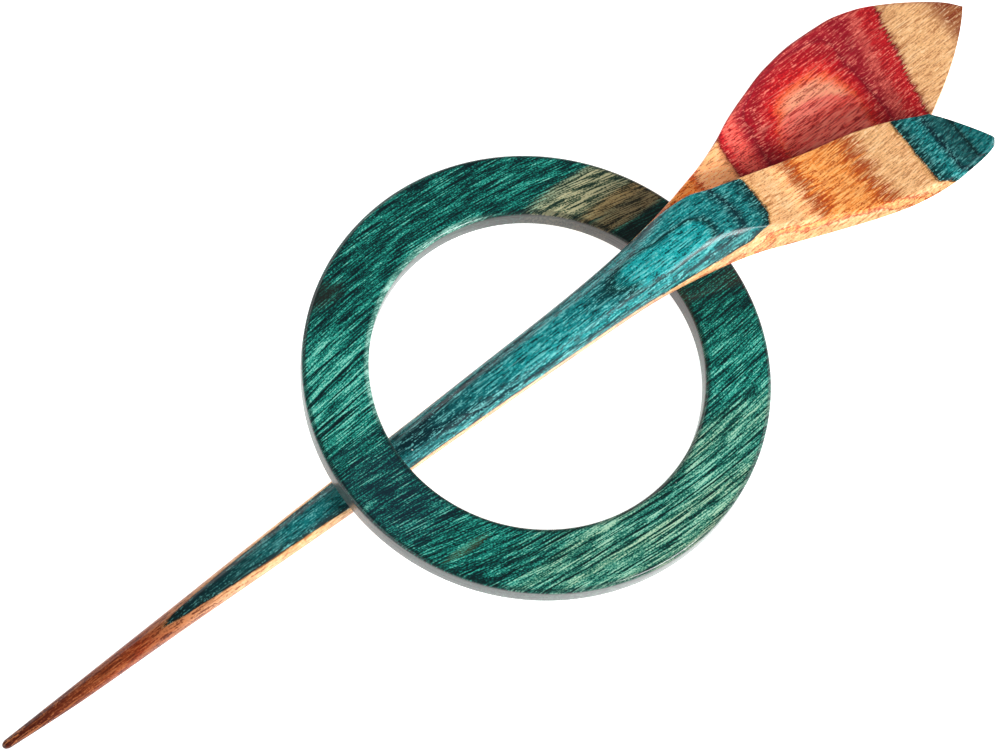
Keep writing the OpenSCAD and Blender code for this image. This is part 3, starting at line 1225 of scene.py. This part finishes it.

    # Painted shade in the corner under the step and along the back petal's rounded rim, and small
    # pale specks
    colour = graph.blend(painted_step_shade * 0.9 * x.within(114, 119), colour, (0.075, 0.005, 0.012))
    colour = graph.blend(painted_rim_shade * 0.45 * x.within(112, 120), colour, (0.2, 0.02, 0.016))
    pale_specks = graph.specks(x, y, w0, 3.0, 0.13, 0.05)
    colour = graph.blend(pale_specks, colour, (0.75, 0.75, 0.7))
    roughness = 0.28 + 0.2 * hairs
    relief = hairs * 0.6 + streaks * 0.4
    return graph.lacquer(colour, roughness, relief, depth=0.00005, coat=0.36, coat_roughness=0.21)


class SHAWLPIN_OT_stick(bpy.types.Operator):
    """Builds the carved stick with its tulip head"""

    bl_idname = "shawlpin.stick"
    bl_label = "Stick"

    def execute(self, context):
        settings = context.scene.shawlpin_stick
        origin, axes = stick_frame(settings)
        shape = StickShape()
        sections = shape.sections(settings.shaft_step / MM, settings.head_sections)
        bm = bmesh.new()
        painted_step_shade = bm.verts.layers.float.new("painted_step_shade")
        painted_rim_shade = bm.verts.layers.float.new("painted_rim_shade")
        side = bm.verts.layers.float.new("side")
        loops = []
        for s in sections:
            loop = []
            rows = shape.loop(s)
            foot = rows[shape.step_line + 1]
            drop = rows[shape.step_line][2] - foot[2]
            for j, (x, y, z) in enumerate(rows):
                vert = bm.verts.new(origin + (axes[0] * x + axes[1] * y + axes[2] * z) * MM)
                if shape.step_line < j <= shape.last_line:
                    away = math.hypot(x - foot[0], y - foot[1])
                    # Painted shade in the corner under the step
                    vert[painted_step_shade] = shape.step_shade(drop, away)
                    # Painted shade on the back petal's rounded rim
                    vert[painted_rim_shade] = shape.rim_shade(s, j)
                if j > shape.last_line:
                    vert[side] = 1.0
                elif j <= shape.roll_lines:
                    vert[side] = shape.side_share(j)
                loop.append(vert)
            loops.append(loop)
        for here, ahead in zip(loops, loops[1:]):
            for j in range(len(here)):
                k = (j + 1) % len(here)
                bm.faces.new((here[j], here[k], ahead[k], ahead[j]))
        for loop, flip in ((loops[0], True), (loops[-1], False)):
            self.close(bm, loop, shape.last_line, flip)
        bmesh.ops.recalc_face_normals(bm, faces=bm.faces)
        piece = add_piece("stick_carved", bm, layered_wood(settings))
        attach(piece, "stick")
        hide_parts("stick")
        return {"FINISHED"}

    @staticmethod
    def close(bm, loop, last, flip):
        """Closes one end, each piece of the top joined to the underside below it."""
        for j in range(last):
            under = loop[-j] if j else loop[0]
            corners = [loop[j], loop[j + 1], loop[-(j + 1)], under]
            corners = [c for i, c in enumerate(corners) if c not in corners[:i]]
            if len(corners) > 2:
                bm.faces.new(corners[::-1] if flip else corners)


def add_light(name, place, size, power):
    """Adds a soft white light that points at the middle of the floor."""
    data = bpy.data.lights.new(name, "AREA")
    data.shape = "RECTANGLE"
    data.size, data.size_y = size
    data.energy = power
    light = bpy.data.objects.new(name, data)
    light.location = place
    light.rotation_mode = "QUATERNION"
    light.rotation_quaternion = (-Vector(place)).to_track_quat("-Z", "Y")
    bpy.context.scene.collection.objects.link(light)


class SHAWLPIN_OT_stage(bpy.types.Operator):
    """Sets up the pale floor, the soft light and the camera"""

    bl_idname = "shawlpin.stage"
    bl_label = "Stage"

    def execute(self, context):
        scene = context.scene
        settings = scene.shawlpin_stage
        bm = bmesh.new()
        bmesh.ops.create_grid(bm, x_segments=1, y_segments=1, size=settings.floor_size)
        graph = Graph("floor")
        shader = graph.add(
            "ShaderNodeBsdfPrincipled",
            {},
            {
                "Base Color": settings.floor_colour,
                "Roughness": 0.9,
                "Specular IOR Level": 0.0,
                "Emission Color": (1.0, 1.0, 1.0),
                "Emission Strength": settings.floor_glow,
            },
        )
        graph.add("ShaderNodeOutputMaterial", {}, {"Surface": shader})
        floor = add_object("floor", bm, graph.material)

        world = bpy.data.worlds.new("studio")
        scene.world = world
        world.use_nodes = True
        background = world.node_tree.nodes["Background"]
        background.inputs["Color"].default_value = (1.0, 1.0, 1.0, 1.0)
        background.inputs["Strength"].default_value = settings.world_strength
        for light in LIGHTS:
            add_light(*light)

        slant, turn = settings.camera_slant, settings.camera_turn
        right = Vector((math.cos(turn), -math.sin(turn), 0))
        flat = math.cos(slant)
        up = Vector((math.sin(turn) * flat, math.cos(turn) * flat, math.sin(slant)))
        back = right.cross(up)
        left, down = settings.camera_shift
        aim = Vector(scene.shawlpin_ring.centre) - right * left - up * down
        data = bpy.data.cameras.new("camera")
        data.lens = settings.lens
        data.sensor_width = 36.0
        data.clip_start, data.clip_end = 0.01, 20.0
        camera = bpy.data.objects.new("camera", data)
        camera.matrix_world = Matrix.Translation(aim + back * settings.camera_distance) @ Matrix(
            (right, up, back)
        ).transposed().to_4x4()
        scene.collection.objects.link(camera)
        scene.camera = camera
        scene.view_settings.view_transform = "Standard"
        scene.view_settings.look = "None"
        return {"FINISHED"}


class SHAWLPIN_PT_panel(bpy.types.Panel):
    """Lists the pieces of the shawl pin and their settings"""

    bl_idname = "SHAWLPIN_PT_panel"
    bl_label = "Shawl Pin"
    bl_space_type = "VIEW_3D"
    bl_region_type = "UI"
    bl_category = "Shawl Pin"

    def draw(self, context):
        for part in SETTINGS:
            settings = getattr(context.scene, "shawlpin_" + part)
            box = self.layout.box()
            box.operator("shawlpin." + part)
            for name in settings.__annotations__:
                box.prop(settings, name)


SETTINGS = {"ring": RingSettings, "stick": StickSettings, "stage": StageSettings}
CLASSES = (
    *SETTINGS.values(),
    SHAWLPIN_OT_ring,
    SHAWLPIN_OT_stick,
    SHAWLPIN_OT_stage,
    SHAWLPIN_PT_panel,
)


def register():
    for cls in CLASSES:
        bpy.utils.register_class(cls)
    for part, settings in SETTINGS.items():
        setattr(bpy.types.Scene, "shawlpin_" + part, bpy.props.PointerProperty(type=settings))


def unregister():
    for part in SETTINGS:
        delattr(bpy.types.Scene, "shawlpin_" + part)
    for cls in reversed(CLASSES):
        bpy.utils.unregister_class(cls)


def main():
    register()
    bpy.ops.shawlpin.ring()
    bpy.ops.shawlpin.stick()
    bpy.ops.shawlpin.stage()
    bpy.context.view_layer.update()


if __name__ == "__main__":
    main()
